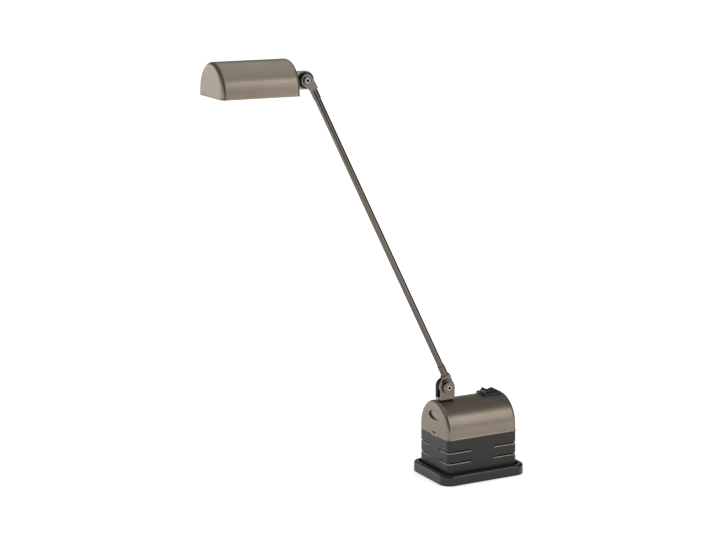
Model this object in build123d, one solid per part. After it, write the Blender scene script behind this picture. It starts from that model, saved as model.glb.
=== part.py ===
from build123d import *
import math
import os

# A low-voltage piano lamp, in millimetres. +Z is up and the origin is the centre of the face it rests on.
# The long side of the base lies along X. The arm and the shade lean towards -X, the switch is on the +X half.

# ---------------------------------------------------------------- clearances
fit_gap = 0.15  # between shells that slide into each other
pin_gap = 0.05  # radial, round a pin or shaft that turns
thread_gap = 0.03  # radial, round a screw in its thread
running_gap = 0.3  # between faces that turn past each other
hole_gap = 0.3  # radial, round a screw or a body in a through hole
face_gap = 0.02  # between curved faces that lie against each other
cut_over = 1.0  # how far a cut runs past the face it opens
pick_slack = 0.05  # how far off a place an edge may lie and still be picked by it

# ---------------------------------------------------------------- tray and pad
tray_end_margin = 10.0  # from the case's end face to the tray's edge
tray_side_margin = 9.5  # from the case's long side to the tray's edge
tray_corner = 15.0
tray_top = 13.5
tray_rim_round = 2.6
tray_foot_round = 0.9
tray_floor = 5.0  # height of the floor that the case stands on
groove_gap = 3.2  # open groove between the case and the rim
groove_round = 1.4
pad_inset = 5.0
pad_thickness = 1.4
pad_proud = 0.4

# ---------------------------------------------------------------- case and cover
case_length = 100.0
case_width = 73.0
case_round = 4.6
case_wall = 2.2
case_floor = 2.2
joint_height = 56.5  # where the cover meets the lower case
cover_straight = 7.4  # from that joint to where the half-round crown starts
cover_wall = 1.2
tongue_height = 4.5
lip_straight = 0.6
lip_slope = 0.9  # height over which the lip slopes back to the wall
lip_proud = 0.45
slot_height = 2.0
slot_level = 27.0  # middle of the lower row of vent slots
slot_pitch = 14.0  # from the lower row to the upper row
slot_start_x = 16.5  # where the long-side part of a vent slot starts
slot_start_y = 13.5  # where the end-face part of a vent slot starts
slot_sill = 0.8  # slope along the outer lower edge of a vent slot
tab_width = 14.0
tab_drop = 1.8
latch_width = 8.5
latch_recess = 0.9  # from the end face in to the latch nose
latch_height = 2.0
latch_level = 2.9  # middle of the latch slot above the joint
badge_length = 26.5
badge_height = 10.8
badge_rise = 17.6  # middle of the badge above the start of the crown
badge_bevel = 0.6
badge_depth = 2.5  # from the end face in to the blank plate
badge_cup_wall = 1.0
badge_thickness = 0.8

# ---------------------------------------------------------------- ballast and transformer
ballast_gap = 4.0
ballast_thickness = 8.0
core_head_gap = 2.0  # from the strap over the core up to the switch blades
core_leg = 11.0
bobbin_gap = 0.3
bobbin_wall = 1.2
bobbin_overhang = 10.5
winding_recess = 1.0
winding_gap = 0.1
winding_round = 3.0
strap_width = 24.0
strap_thickness = 1.2
strap_foot = 9.0
strap_end_gap = 0.6  # from the strap's foot to the end of the ballast plate
screw_radius = 2.0  # M4
screw_head_radius = 3.75
screw_head_height = 2.4
screw_bite = 5.0
driver_slot = 0.8  # width of the slot in the head of an M4 screw
small_slot = 0.6  # width of the slot in a smaller screw
small_slot_depth = 0.8
tray_screw_inset = 7.0
strap_screw_spread = 14.0

# ---------------------------------------------------------------- wiring inside the base
block_length = 16.0
block_width = 10.0
block_height = 13.0
block_wall_gap = 1.5  # from the core to the block and the fuse holder
block_side_gap = 1.45  # from the block to the side of the ballast plate
block_wire_radius = 1.6
block_slot = 1.6  # slot between the two poles
block_slot_floor = 3.0
block_screw_drop = 1.0  # screws below the top of the block
fuse_radius = 2.5
fuse_cap_radius = 2.6
fuse_length = 20.0
fuse_cap_length = 5.0
fuse_height = 7.5
fuse_clip = 4.0
fuse_base = 2.5
gland_bore_radius = 3.3
gland_radius = 5.0
gland_flange_radius = 6.6
gland_flange = 1.5
gland_level = 24.0
lead_radius = 0.9
lead_bend = 6.0

# ---------------------------------------------------------------- switch
switch_inset = 19.8  # middle of the switch from the +X end of the case
bezel_length = 27.0
bezel_width = 20.0
bezel_corner = 2.0
bezel_rise = 2.0
bezel_edge = 0.6
switch_length = 24.0
switch_width = 17.0
switch_depth = 20.0
window_length = 20.5
window_width = 14.0
window_depth = 12.0
rocker_axis_drop = 1.5  # rocker axis below the crown
rocker_peak = 7.3
rocker_valley = 4.4
rocker_keel = 5.0
rocker_throw = 14.0
trunnion_radius = 1.3
trunnion_reach = 1.2
blade_width = 4.8
blade_thickness = 0.8
blade_length = 7.0
blade_pitch = 7.0

# ---------------------------------------------------------------- swivel
fork_inset = 16.3  # swivel axis from the -X end of the case
seat_rise = 0.8  # top of the bush above the crown
seat_radius = 8.0
bush_radius = 7.0
stem_radius = 5.0
stem_bore_radius = 3.0
collar_radius = 12.5
collar_bottom_drop = 5.9  # underside of the collar below the crown
stop_washer_radius = 7.0
stop_washer_thickness = 1.0
stop_tab_radius = 11.8
stop_tab_width = 3.0
stop_pin_radius = 1.25
stop_pin_offset = 10.0
stop_pin_seat = 1.5
stop_pin_reach = 1.0  # below the underside of the stop washer
swivel_nut_flats = 15.0
swivel_nut_height = 5.0
stem_tail = 2.0  # thread that shows below the nut

# ---------------------------------------------------------------- joints
fork_front = -7.8  # front face of the lower joint
upper_front = -4.8  # front face of the upper joint
hub_radius = 10.0
fork_floor = 3.0
fork_pivot_rise = 16.0  # pivot above the underside of the fork
ear_thickness = 2.6
hub_thickness = 2.7
lower_insulator_thickness = 3.0
lower_insulator_radius = 9.4
cheek_thickness = 6.0
plate_edge = 0.5
lower_cap_radius = 7.9
lower_cap_thickness = 4.3
upper_cap_radius = 5.0
upper_cap_thickness = 1.9
cap_edge = 0.5
button_radius = 3.7
button_height = 1.3
button_edge = 0.4
hex_flats = 2.9
hex_depth = 2.2
washer_radius = 4.5
washer_thickness = 0.8
nut_flats = 7.0
nut_height = 3.2
screw_tail = 0.6

# ---------------------------------------------------------------- arm
arm_length = 440.2  # pivot to pivot along the rod
arm_lean = 25.5
rod_radius = 4.0
rod_bore_radius = 3.0
rod_offset_low = 6.2  # rod axis from the lower pivot
rod_offset_high = 3.8  # rod axis from the upper pivot
shoulder_half = 5.0
lower_shoulder = 10.6  # from the lower pivot to the near face of the shoulder
lower_shoulder_height = 2.8
upper_shoulder = 12.0
upper_shoulder_height = 2.3
upper_collar_height = 1.5
ferrule_radius = 4.7
lower_ferrule_length = 13.7
upper_ferrule_length = 11.6
ferrule_edge = 0.5
conductor_radius = 1.25
sleeve_wall = 1.6
sleeve_recess = 0.6
upper_ear_radius = 7.8
upper_ear_thickness = 1.8
upper_insulator_thickness = 2.7
upper_insulator_radius = 9.5
lug_thickness = 4.5
lug_radius = 11.0

# ---------------------------------------------------------------- shade
head_length = 100.0
head_width = 68.0
head_height = 41.2
head_round = 5.0
head_wall = 1.2
head_reach = 22.0  # from the upper pivot to the shade
head_drop = 14.5  # from the upper pivot down to the rim
head_rest_tilt = 1.0
rim_straight = 0.8
rim_slope = 0.9
rim_proud = 0.4
lug_screw_radius = 1.5  # M3
lug_screw_head_radius = 2.7
lug_screw_head_height = 1.8
lug_screw_spread = 12.0
lug_screw_bite = 8.0
bracket_thickness = 1.0
bracket_width = 18.0
bracket_lift = 3.5  # shelf above the rim
bracket_height = 20.0
holder_gap = 0.8  # behind the holder, for the screw heads
holder_length = 14.0
holder_width = 16.0
holder_height = 13.0
holder_edge = 1.5
pin_spacing = 6.35
bulb_pin_radius = 0.5
bulb_pin_depth = 7.5
bulb_standoff = 1.0
pinch_length = 8.0
pinch_width = 9.0
pinch_thickness = 3.6
glass_radius = 6.0
glass_wall = 1.0
glass_length = 16.0
coil_radius = 1.1
coil_length = 7.0
coil_lead_radius = 0.3
reflector_radius = 27.0
reflector_wall = 0.6
reflector_lift = 4.5
reflector_length = 74.0
reflector_end_gap = 1.5
reflector_side_gap = 0.1
reflector_port_radius = 7.5

# ---------------------------------------------------------------- derived places
tray_length = case_length + 2 * tray_end_margin
tray_width = case_width + 2 * tray_side_margin
spring_height = joint_height + cover_straight
crown_top = spring_height + case_width / 2
slot_levels = (slot_level, slot_level + slot_pitch)
badge_level = spring_height + badge_rise
cavity_half_length = case_length / 2 - case_wall
cavity_half_width = case_width / 2 - case_wall
switch_x = case_length / 2 - switch_inset
fork_x = fork_inset - case_length / 2
blade_top = crown_top - switch_depth
ballast_bottom = tray_floor + case_floor
ballast_top = ballast_bottom + ballast_thickness
ballast_length = 2 * (cavity_half_length - ballast_gap)
ballast_width = 2 * (cavity_half_width - ballast_gap)
core_width = ballast_length - 2 * (strap_end_gap + strap_foot + strap_thickness)
core_top = blade_top - blade_length - core_head_gap - strap_thickness
block_y = ballast_width / 2 - block_side_gap - block_width / 2
core_stack = 2 * (block_y - block_width / 2 - block_wall_gap)
window_span = (core_width - 4 * core_leg) / 2
bobbin_low = ballast_top + core_leg + bobbin_gap
bobbin_high = core_top - core_leg - bobbin_gap
bobbin_middle = (bobbin_low + bobbin_high) / 2
bobbin_half_x = core_leg + window_span - bobbin_gap
bobbin_half_y = core_stack / 2 + bobbin_overhang
block_x = switch_x + blade_pitch / 2
fuse_x = fork_x
rocker_axis_z = crown_top - rocker_axis_drop
rocker_radius = window_length / 2 - running_gap
fork_bottom = crown_top + seat_rise + running_gap
pivot_z = fork_bottom + fork_pivot_rise
collar_bottom = crown_top - collar_bottom_drop
stop_washer_top = collar_bottom - running_gap
swivel_nut_top = stop_washer_top - stop_washer_thickness
stem_bottom = swivel_nut_top - swivel_nut_height - stem_tail
lead_level = (core_top + strap_thickness + stem_bottom) / 2  # where the lamp leads cross to the stem
lead_exit_level = (bobbin_middle + bobbin_high) / 2
hub_front = fork_front + ear_thickness + running_gap
hub_back = hub_front + hub_thickness
lower_insulator_back = hub_back + lower_insulator_thickness
cheek_front = lower_insulator_back + running_gap
cheek_back = cheek_front + cheek_thickness
upper_ear_back = upper_front + upper_ear_thickness
upper_insulator_back = upper_ear_back + upper_insulator_thickness
lug_front = upper_insulator_back + running_gap
lug_back = lug_front + lug_thickness
lower_shoulder_top = lower_shoulder + lower_shoulder_height
upper_shoulder_near = arm_length - upper_shoulder
upper_shoulder_far = upper_shoulder_near - upper_shoulder_height
upper_collar_far = upper_shoulder_far - upper_collar_height
upper_pivot_x = rod_offset_low - rod_offset_high
sleeve_radius = conductor_radius + sleeve_wall
shade_end = -head_reach
shade_far_end = shade_end - head_length
shade_inner_end = shade_end - head_wall
bracket_shelf = bracket_lift - head_drop
holder_back = shade_inner_end - bracket_thickness - lug_screw_head_height - holder_gap
holder_face = holder_back - holder_length
bulb_axis_z = bracket_shelf + bracket_thickness + holder_height / 2
pinch_end = holder_face - bulb_standoff
glass_start = pinch_end - pinch_length
glass_dome = glass_start - glass_length
reflector_start = holder_face - reflector_end_gap
reflector_base = reflector_lift - head_drop

arm_frame = Location((fork_x, 0, pivot_z), (0, -arm_lean, 0))
upper_pivot = (arm_frame * Pos(upper_pivot_x, 0, arm_length)).position
head_frame = Location(tuple(upper_pivot), (0, head_rest_tilt, 0))


# ---------------------------------------------------------------- shared shapes
def slab(outline, bottom, top):
    """An outline drawn in X and Y, from z = bottom to z = top."""
    return extrude(Pos(0, 0, bottom) * outline, amount=top - bottom)


def plate_across(outline, front, back):
    """An outline drawn in X and Z, from y = front to y = back."""
    plane = Plane(origin=(0, back, 0), x_dir=(1, 0, 0), z_dir=(0, -1, 0))
    return extrude(plane * outline, amount=back - front)


def plate_along(outline, start, end):
    """An outline drawn in Y and Z, from x = start to x = end."""
    plane = Plane(origin=(start, 0, 0), x_dir=(0, 1, 0), z_dir=(1, 0, 0))
    return extrude(plane * outline, amount=end - start)


def block(low, high):
    """A box between two corners."""
    size = [top - bottom for bottom, top in zip(low, high)]
    middle = [(top + bottom) / 2 for bottom, top in zip(low, high)]
    return Pos(*middle) * Box(*size)


def upright(radius, bottom, top, x=0.0, y=0.0):
    """A cylinder along Z."""
    return slab(Pos(x, y) * Circle(radius), bottom, top)


def crosswise(radius, front, back, x=0.0, z=0.0):
    """A cylinder along Y."""
    return plate_across(Pos(x, z) * Circle(radius), front, back)


def lengthwise(radius, start, end, y=0.0, z=0.0):
    """A cylinder along X."""
    return plate_along(Pos(y, z) * Circle(radius), start, end)


def gather(solids):
    """Separate solids that share one node."""
    return Compound(children=list(solids))


def corners(x, y):
    """The four corners of a rectangle round the origin."""
    return [(sx * x, sy * y) for sx in (-1, 1) for sy in (-1, 1)]


def barrel_section(width, height):
    """Straight sides under a half-round crown, standing on the line z = 0."""
    half = width / 2
    side = height - half
    base = Line((-half, 0), (half, 0))
    right = Line((half, 0), (half, side))
    crown = ThreePointArc((half, side), (0, height), (-half, side))
    left = Line((-half, side), (-half, 0))
    return make_face([base, right, crown, left])


def barrel(length, width, height, edge):
    """A solid half-barrel along X with rounded ends, standing on z = 0."""
    body = plate_along(barrel_section(width, height), -length / 2, length / 2)
    ends = [
        e
        for e in body.edges()
        if abs(abs(e.center().X) - length / 2) < pick_slack and e.center().Z > pick_slack
    ]
    return fillet(ends, edge)


def barrel_shell(length, width, height, edge, wall):
    """A half-barrel shell that is open underneath."""
    inside = barrel(length - 2 * wall, width - 2 * wall, height - wall, edge - wall)
    return barrel(length, width, height, edge) - inside


def case_outline(inset):
    """The plan of the case, drawn in from its outside."""
    return RectangleRounded(case_length - 2 * inset, case_width - 2 * inset, case_round - inset)


def raised_band(outline, bottom, straight, slope, proud):
    """A band round a shell's edge that stands proud and slopes back at its top."""
    upright_part = slab(outline, bottom, bottom + straight)
    lean = math.degrees(math.atan2(proud, slope))
    return upright_part + extrude(Pos(0, 0, bottom + straight) * outline, amount=slope, taper=lean)


def crown_cylinder(radius):
    """The round of the cover's crown, as a solid cylinder along X."""
    return lengthwise(radius, -case_length, case_length, z=spring_height)


def pan_screw(radius, length, head_radius, head_height):
    """A screw with its head above z = 0 and its shank below."""
    head = upright(head_radius, 0, head_height)
    head = fillet(head.edges().group_by(Axis.Z)[-1], head_height / 3)
    slot_half = driver_slot / 2
    recess = block((-head_radius / 2, -slot_half, head_height / 2), (head_radius / 2, slot_half, head_height))
    return head + upright(radius, -length, 0) - recess


# ---------------------------------------------------------------- base
def base_pad():
    outline = RectangleRounded(
        tray_length - 2 * pad_inset, tray_width - 2 * pad_inset, tray_corner - pad_inset
    )
    return slab(outline, 0, pad_thickness)


def base_tray():
    body = slab(RectangleRounded(tray_length, tray_width, tray_corner), pad_proud, tray_top)
    body = fillet(body.edges().group_by(Axis.Z)[-1], tray_rim_round)
    body = fillet(body.edges().group_by(Axis.Z)[0], tray_foot_round)
    body -= slab(case_outline(-groove_gap), tray_floor, tray_top + cut_over)
    mouth = [
        e
        for e in body.edges().filter_by_position(Axis.Z, tray_top - pick_slack, tray_top + pick_slack)
        if abs(e.center().Y) < case_width / 2 + groove_gap + pick_slack
        and abs(e.center().X) < case_length / 2 + groove_gap + pick_slack
    ]
    body = fillet(mouth, groove_round)
    body -= slab(
        RectangleRounded(
            tray_length - 2 * pad_inset + 2 * fit_gap,
            tray_width - 2 * pad_inset + 2 * fit_gap,
            tray_corner - pad_inset + fit_gap,
        ),
        0,
        pad_thickness,
    )
    for x, y in tray_screw_places():
        body -= upright(screw_head_radius + hole_gap, pad_thickness, pad_thickness + screw_head_height, x, y)
        body -= upright(screw_radius + hole_gap, pad_thickness, tray_floor, x, y)
    return body


def tray_screw_places():
    return corners(ballast_length / 2 - tray_screw_inset, ballast_width / 2 - tray_screw_inset)


def tray_screws():
    seat = pad_thickness + screw_head_height
    length = ballast_bottom + screw_bite - seat
    screw = Rot(180, 0, 0) * pan_screw(screw_radius, length, screw_head_radius, screw_head_height)
    return gather(Pos(x, y, seat) * screw for x, y in tray_screw_places())


def vent_slot(level):
    """The cuts of one row of slots, which wrap round the four corners."""
    low = level - slot_height / 2
    high = level + slot_height / 2
    cuts = []
    for sx in (-1, 1):
        for sy in (-1, 1):
            x_in = sx * slot_start_x
            x_wall = sx * cavity_half_length
            x_out = sx * case_length
            y_in = sy * slot_start_y
            y_wall = sy * cavity_half_width
            y_out = sy * case_width
            cuts.append(block(*ordered((x_in, y_wall, low), (x_out, y_out, high))))
            cuts.append(block(*ordered((x_wall, y_in, low), (x_out, y_out, high))))
    return cuts


def vent_sills(level):
    """The slopes along the outer lower edges of one row of slots."""
    low = level - slot_height / 2
    bottom = low - slot_sill
    wall = extrude(Pos(0, 0, bottom) * case_outline(0), amount=slot_sill, taper=45)
    ring = slab(case_outline(-cut_over), bottom, low) - wall
    sills = []
    for sx, sy in corners(1, 1):
        near = (sx * slot_start_x, sy * slot_start_y, bottom)
        sills.append(ring & block(*ordered(near, (sx * case_length, sy * case_width, low))))
    return sills


def ordered(first, second):
    """The lowest and highest corner of the box that two corners span."""
    low = tuple(min(a, b) for a, b in zip(first, second))
    high = tuple(max(a, b) for a, b in zip(first, second))
    return low, high


def lower_case():
    body = slab(case_outline(0), tray_floor, joint_height)
    tongue_inset = cover_wall + fit_gap
    body += slab(case_outline(tongue_inset), joint_height, joint_height + tongue_height)
    body -= slab(case_outline(case_wall), ballast_bottom, joint_height + tongue_height)
    for level in slot_levels:
        for cut in vent_slot(level) + vent_sills(level):
            body -= cut
    tab_half = tab_width / 2 + fit_gap
    nose_half = latch_width / 2 - hole_gap
    nose_low = joint_height + latch_level - latch_height / 2 + fit_gap
    nose_high = nose_low + latch_height - 2 * fit_gap
    for side in (-1, 1):
        face = side * case_length / 2
        notch_back = side * (case_length / 2 - tongue_inset)
        notch_low = joint_height - tab_drop - fit_gap
        body -= block(*ordered((notch_back, -tab_half, notch_low), (face + side, tab_half, joint_height)))
        nose_back = side * cavity_half_length
        nose_face = face - side * latch_recess
        body += block(*ordered((nose_back, -nose_half, nose_low), (nose_face, nose_half, nose_high)))
    for x, y in tray_screw_places():
        body -= upright(screw_radius + hole_gap, tray_floor, ballast_bottom, x, y)
    start = cavity_half_length - cut_over
    body -= lengthwise(gland_radius, start, case_length / 2 + cut_over, z=gland_level)
    return body


def badge_outline(growth):
    """The oval of the badge, drawn in Y and Z and grown all round."""
    return Pos(0, badge_level) * Ellipse(badge_length / 2 + growth, badge_height / 2 + growth)


def upper_cover():
    height = crown_top - joint_height
    body = Pos(0, 0, joint_height) * barrel_shell(case_length, case_width, height, case_round, cover_wall)
    lip = raised_band(case_outline(-lip_proud), joint_height, lip_straight, lip_slope, lip_proud)
    body += lip - slab(case_outline(cover_wall), joint_height, joint_height + lip_straight + lip_slope)
    tab_low = joint_height - tab_drop
    tab_high = joint_height + lip_straight
    slot_low = joint_height + latch_level - latch_height / 2
    for side in (-1, 1):
        face = side * case_length / 2
        inner = face - side * cover_wall
        body += block(*ordered((inner, -tab_width / 2, tab_low), (face, tab_width / 2, tab_high)))
        cut = ordered(
            (inner - side, -latch_width / 2, slot_low), (face + side, latch_width / 2, slot_low + latch_height)
        )
        body -= block(*cut)
    badge_face = -case_length / 2
    badge_floor = badge_face + badge_depth
    body += plate_along(badge_outline(badge_cup_wall), badge_face + cover_wall / 2, badge_floor)
    body -= plate_along(badge_outline(0), badge_face - cut_over, badge_floor)
    bevel_edges = [
        e
        for e in body.edges().filter_by_position(Axis.X, badge_face - pick_slack, badge_face + pick_slack)
        if abs(e.center().Z - badge_level) < badge_height / 2 + pick_slack
        and abs(e.center().Y) < badge_length / 2 + pick_slack
    ]
    body = chamfer(bevel_edges, badge_bevel)
    body -= upright(bush_radius + fit_gap, spring_height, crown_top + cut_over, fork_x)
    body -= block(
        (switch_x - switch_length / 2 - fit_gap, -switch_width / 2 - fit_gap, spring_height),
        (switch_x + switch_length / 2 + fit_gap, switch_width / 2 + fit_gap, crown_top + cut_over),
    )
    return body


def badge_plate():
    """A blank oval plate that closes the back of the badge recess."""
    front = -case_length / 2 + badge_depth
    return plate_along(badge_outline(badge_cup_wall), front, front + badge_thickness)


def ballast_plate():
    outline = RectangleRounded(ballast_length, ballast_width, case_round)
    body = slab(outline, ballast_bottom, ballast_top)
    for x, y in tray_screw_places():
        body -= upright(screw_radius + thread_gap, ballast_bottom, ballast_bottom + screw_bite + hole_gap, x, y)
    for x, y in strap_screw_places():
        body -= upright(screw_radius + thread_gap, ballast_top - screw_bite - hole_gap, ballast_top, x, y)
    return body


def transformer_e_stack():
    half = core_width / 2
    body = block((-half, -core_stack / 2, ballast_top), (half, core_stack / 2, core_top - core_leg))
    low = ballast_top + core_leg
    for side in (-1, 1):
        near = (side * core_leg, -core_stack / 2, low)
        far = (side * (core_leg + window_span), core_stack / 2, core_top - core_leg)
        body -= block(*ordered(near, far))
    return body


def transformer_i_stack():
    half = core_width / 2
    return block((-half, -core_stack / 2, core_top - core_leg), (half, core_stack / 2, core_top))


def bobbin_ring(outer_inset, inner_growth, bottom, top):
    """A rectangular ring round the middle leg of the core."""
    outer = Rectangle(2 * (bobbin_half_x - outer_inset), 2 * (bobbin_half_y - outer_inset))
    hole_x = 2 * (core_leg + bobbin_gap + inner_growth)
    hole_y = core_stack + 2 * (bobbin_gap + inner_growth)
    return slab(outer - Rectangle(hole_x, hole_y), bottom, top)


def bobbin():
    middle = bobbin_middle - bobbin_wall / 2
    flanges = [bobbin_low, middle, bobbin_high - bobbin_wall]
    tube_x = 2 * (core_leg + bobbin_gap + bobbin_wall)
    tube_y = core_stack + 2 * (bobbin_gap + bobbin_wall)
    hole = Rectangle(2 * (core_leg + bobbin_gap), core_stack + 2 * bobbin_gap)
    body = slab(Rectangle(tube_x, tube_y) - hole, bobbin_low, bobbin_high)
    for bottom in flanges:
        body += bobbin_ring(0, 0, bottom, bottom + bobbin_wall)
    return body


def winding(bottom, top):
    body = bobbin_ring(winding_recess, bobbin_wall + winding_gap, bottom + winding_gap, top - winding_gap)
    return fillet(body.edges().filter_by(Axis.Z).sort_by(SortBy.DISTANCE)[-4:], winding_round)


def primary_winding():
    return winding(bobbin_low + bobbin_wall, bobbin_middle - bobbin_wall / 2)


def secondary_winding():
    return winding(bobbin_middle + bobbin_wall / 2, bobbin_high - bobbin_wall)


def strap_screw_places():
    return corners(core_width / 2 + strap_thickness + strap_foot / 2, strap_screw_spread / 2)


def transformer_strap():
    half = core_width / 2
    outer = half + strap_thickness
    width = strap_width / 2
    body = block((-outer, -width, core_top), (outer, width, core_top + strap_thickness))
    for side in (-1, 1):
        body += block(*ordered((side * half, -width, ballast_top), (side * outer, width, core_top)))
        foot_end = side * (outer + strap_foot)
        body += block(
            *ordered((side * half, -width, ballast_top), (foot_end, width, ballast_top + strap_thickness))
        )
    for x, y in strap_screw_places():
        body -= upright(screw_radius + hole_gap, ballast_top, ballast_top + strap_thickness, x, y)
    return body


def strap_screws():
    length = strap_thickness + screw_bite
    screw = pan_screw(screw_radius, length, screw_head_radius, screw_head_height)
    seat = ballast_top + strap_thickness
    return gather(Pos(x, y, seat) * screw for x, y in strap_screw_places())


def block_poles():
    return [switch_x, switch_x + blade_pitch]


def terminal_block():
    half = block_length / 2
    top = ballast_top + block_height
    low = (block_x - half, block_y - block_width / 2, ballast_top)
    high = (block_x + half, block_y + block_width / 2, top)
    body = block(low, high)
    slot_half = block_slot / 2
    body -= block(
        (block_x - slot_half, low[1], ballast_top + block_slot_floor), (block_x + slot_half, high[1], top)
    )
    for x in block_poles():
        body -= crosswise(block_wire_radius, low[1], high[1], x, ballast_top + block_height / 2)
        body -= upright(block_wire_radius + thread_gap, ballast_top + block_height / 2, top, x, block_y)
    return body


def terminal_screws():
    """Headless screws that stop short of the block's top and above its wire holes."""
    low = ballast_top + block_height / 2 + block_wire_radius
    top = ballast_top + block_height - block_screw_drop
    slot_half = small_slot / 2
    screws = []
    for x in block_poles():
        screw = upright(block_wire_radius, low, top, x, block_y)
        slot = block(
            (x - block_wire_radius, block_y - slot_half, top - small_slot_depth),
            (x + block_wire_radius, block_y + slot_half, top),
        )
        screws.append(screw - slot)
    return gather(screws)


def fuse_holder():
    half = fuse_length / 2 + fuse_clip / 2
    width = block_width / 2
    axis_z = ballast_top + fuse_height
    clip_top = axis_z + fuse_cap_radius / 2
    low = (fuse_x - half, block_y - width, ballast_top)
    body = block(low, (fuse_x + half, block_y + width, ballast_top + fuse_base))
    for side in (-1, 1):
        end = fuse_x + side * half
        inner = end - side * fuse_clip
        body += block(*ordered((inner, block_y - width, ballast_top), (end, block_y + width, clip_top)))
    cradle = fuse_length / 2 + pin_gap
    return body - lengthwise(fuse_cap_radius + pin_gap, fuse_x - cradle, fuse_x + cradle, block_y, axis_z)


def fuse():
    axis_z = ballast_top + fuse_height
    half = fuse_length / 2
    body = lengthwise(fuse_radius, fuse_x - half, fuse_x + half, block_y, axis_z)
    for side in (-1, 1):
        end = fuse_x + side * half
        inner = end - side * fuse_cap_length
        body += lengthwise(fuse_cap_radius, min(end, inner), max(end, inner), block_y, axis_z)
    return body


def cord_gland():
    outside = case_length / 2
    inside = cavity_half_length
    body = lengthwise(gland_radius - pin_gap, inside, outside, z=gland_level)
    body += lengthwise(gland_flange_radius, outside, outside + gland_flange, z=gland_level)
    body += lengthwise(gland_flange_radius, inside - gland_flange, inside, z=gland_level)
    edge = body.edges().filter_by(GeomType.CIRCLE).sort_by(Axis.X)[-1]
    body = fillet(edge, gland_flange / 2)
    bore_start = inside - 2 * gland_flange
    return body - lengthwise(gland_bore_radius, bore_start, outside + 2 * gland_flange, z=gland_level)


# ---------------------------------------------------------------- switch
def switch_body():
    top = crown_top + bezel_rise
    bezel = slab(RectangleRounded(bezel_length, bezel_width, bezel_corner), spring_height, top)
    bezel = fillet(bezel.edges().group_by(Axis.Z)[-1], bezel_edge)
    body = Pos(switch_x, 0, 0) * bezel - crown_cylinder(case_width / 2)
    body += block(
        (switch_x - switch_length / 2, -switch_width / 2, crown_top - switch_depth),
        (switch_x + switch_length / 2, switch_width / 2, crown_top + bezel_rise / 2),
    )
    body -= block(
        (switch_x - window_length / 2, -window_width / 2, crown_top - window_depth),
        (switch_x + window_length / 2, window_width / 2, top + cut_over),
    )
    reach = window_width / 2 + trunnion_reach + pin_gap
    return body - crosswise(trunnion_radius + pin_gap, -reach, reach, switch_x, rocker_axis_z)


def switch_rocker():
    """A rocker with both ends raised, cut round about its axis, at rest with its -X end up."""
    reach = rocker_radius + cut_over
    rise = rocker_peak - rocker_valley
    peak_x = math.sqrt(rocker_radius**2 - rocker_peak**2)
    end_height = rocker_valley + rise * reach / peak_x
    base = [(-reach, -rocker_keel), (reach, -rocker_keel)]
    top = [(reach, end_height), (0, rocker_valley), (-reach, end_height)]
    width = window_width / 2 - running_gap
    profile = make_face(Polyline(*base, *top, close=True)) & Circle(rocker_radius)
    body = plate_across(profile, -width, width)
    trunnion = window_width / 2 + trunnion_reach
    body += crosswise(trunnion_radius, -trunnion, trunnion)
    return Pos(switch_x, 0, rocker_axis_z) * Rot(0, rocker_throw / 2, 0) * body


def blade_places():
    return [switch_x + step * blade_pitch for step in (-1, 0, 1)]


def switch_terminals():
    blades = []
    for x in blade_places():
        low = (x - blade_thickness / 2, -blade_width / 2, blade_top - blade_length)
        blades.append(block(low, (x + blade_thickness / 2, blade_width / 2, blade_top)))
    return gather(blades)


def lead(points, bend):
    """A round wire along straight runs joined by arcs."""
    path = FilletPolyline(*points, radius=bend)
    return sweep(Plane(path @ 0, z_dir=path % 0) * Circle(lead_radius), path)


def mains_leads():
    """Two wires from the terminal block up to the switch blades."""
    blade_level = blade_top - blade_length / 2
    start = ballast_top + block_height
    wires = []
    for x in block_poles():
        points = [(x, block_y, start), (x, block_y, blade_level), (x, blade_width / 2, blade_level)]
        wires.append(lead(points, lead_bend))
    return gather(wires)


def secondary_leads():
    """Two wires from the winding up into the bore of the stem."""
    wires = []
    winding_x = -(bobbin_half_x - winding_recess)
    column_y = (core_stack / 2 + bobbin_half_y - winding_recess) / 2
    for side in (-1, 1):
        x = fork_x + side * (lead_radius + hole_gap)
        y = side * column_y
        top = fork_bottom - running_gap
        points = [(winding_x, y, lead_exit_level), (x, y, lead_exit_level), (x, y, lead_level)]
        points += [(x, 0, lead_level), (x, 0, top)]
        wires.append(lead(points, lead_bend / 2))
    return gather(wires)


# ---------------------------------------------------------------- swivel
def swivel_bush():
    seat = upright(seat_radius, spring_height, crown_top + seat_rise, fork_x) - crown_cylinder(case_width / 2)
    sleeve = upright(bush_radius, collar_bottom, crown_top + seat_rise, fork_x)
    bore = upright(stem_radius + pin_gap, collar_bottom, crown_top + seat_rise, fork_x)
    return seat + sleeve - bore


def swivel_collar():
    body = upright(collar_radius, collar_bottom, crown_top, fork_x)
    body &= crown_cylinder(case_width / 2 - cover_wall - face_gap)
    body -= upright(bush_radius + fit_gap, collar_bottom, crown_top, fork_x)
    return body - upright(
        stop_pin_radius, collar_bottom, collar_bottom + stop_pin_seat, fork_x + stop_pin_offset
    )


def stop_pin():
    bottom = swivel_nut_top - stop_pin_reach
    top = collar_bottom + stop_pin_seat
    return upright(stop_pin_radius - pin_gap / 2, bottom, top, fork_x + stop_pin_offset)


def swivel_stem():
    bottom = stem_bottom
    body = upright(stem_radius, bottom, fork_bottom + fork_floor, fork_x)
    return body - upright(stem_bore_radius, bottom, fork_bottom + fork_floor, fork_x)


def stop_washer():
    body = upright(stop_washer_radius, swivel_nut_top, stop_washer_top, fork_x)
    tab_end = fork_x - stop_tab_radius
    body += block((tab_end, -stop_tab_width / 2, swivel_nut_top), (fork_x, stop_tab_width / 2, stop_washer_top))
    return body - upright(stem_radius + thread_gap, swivel_nut_top, stop_washer_top, fork_x)


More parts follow.
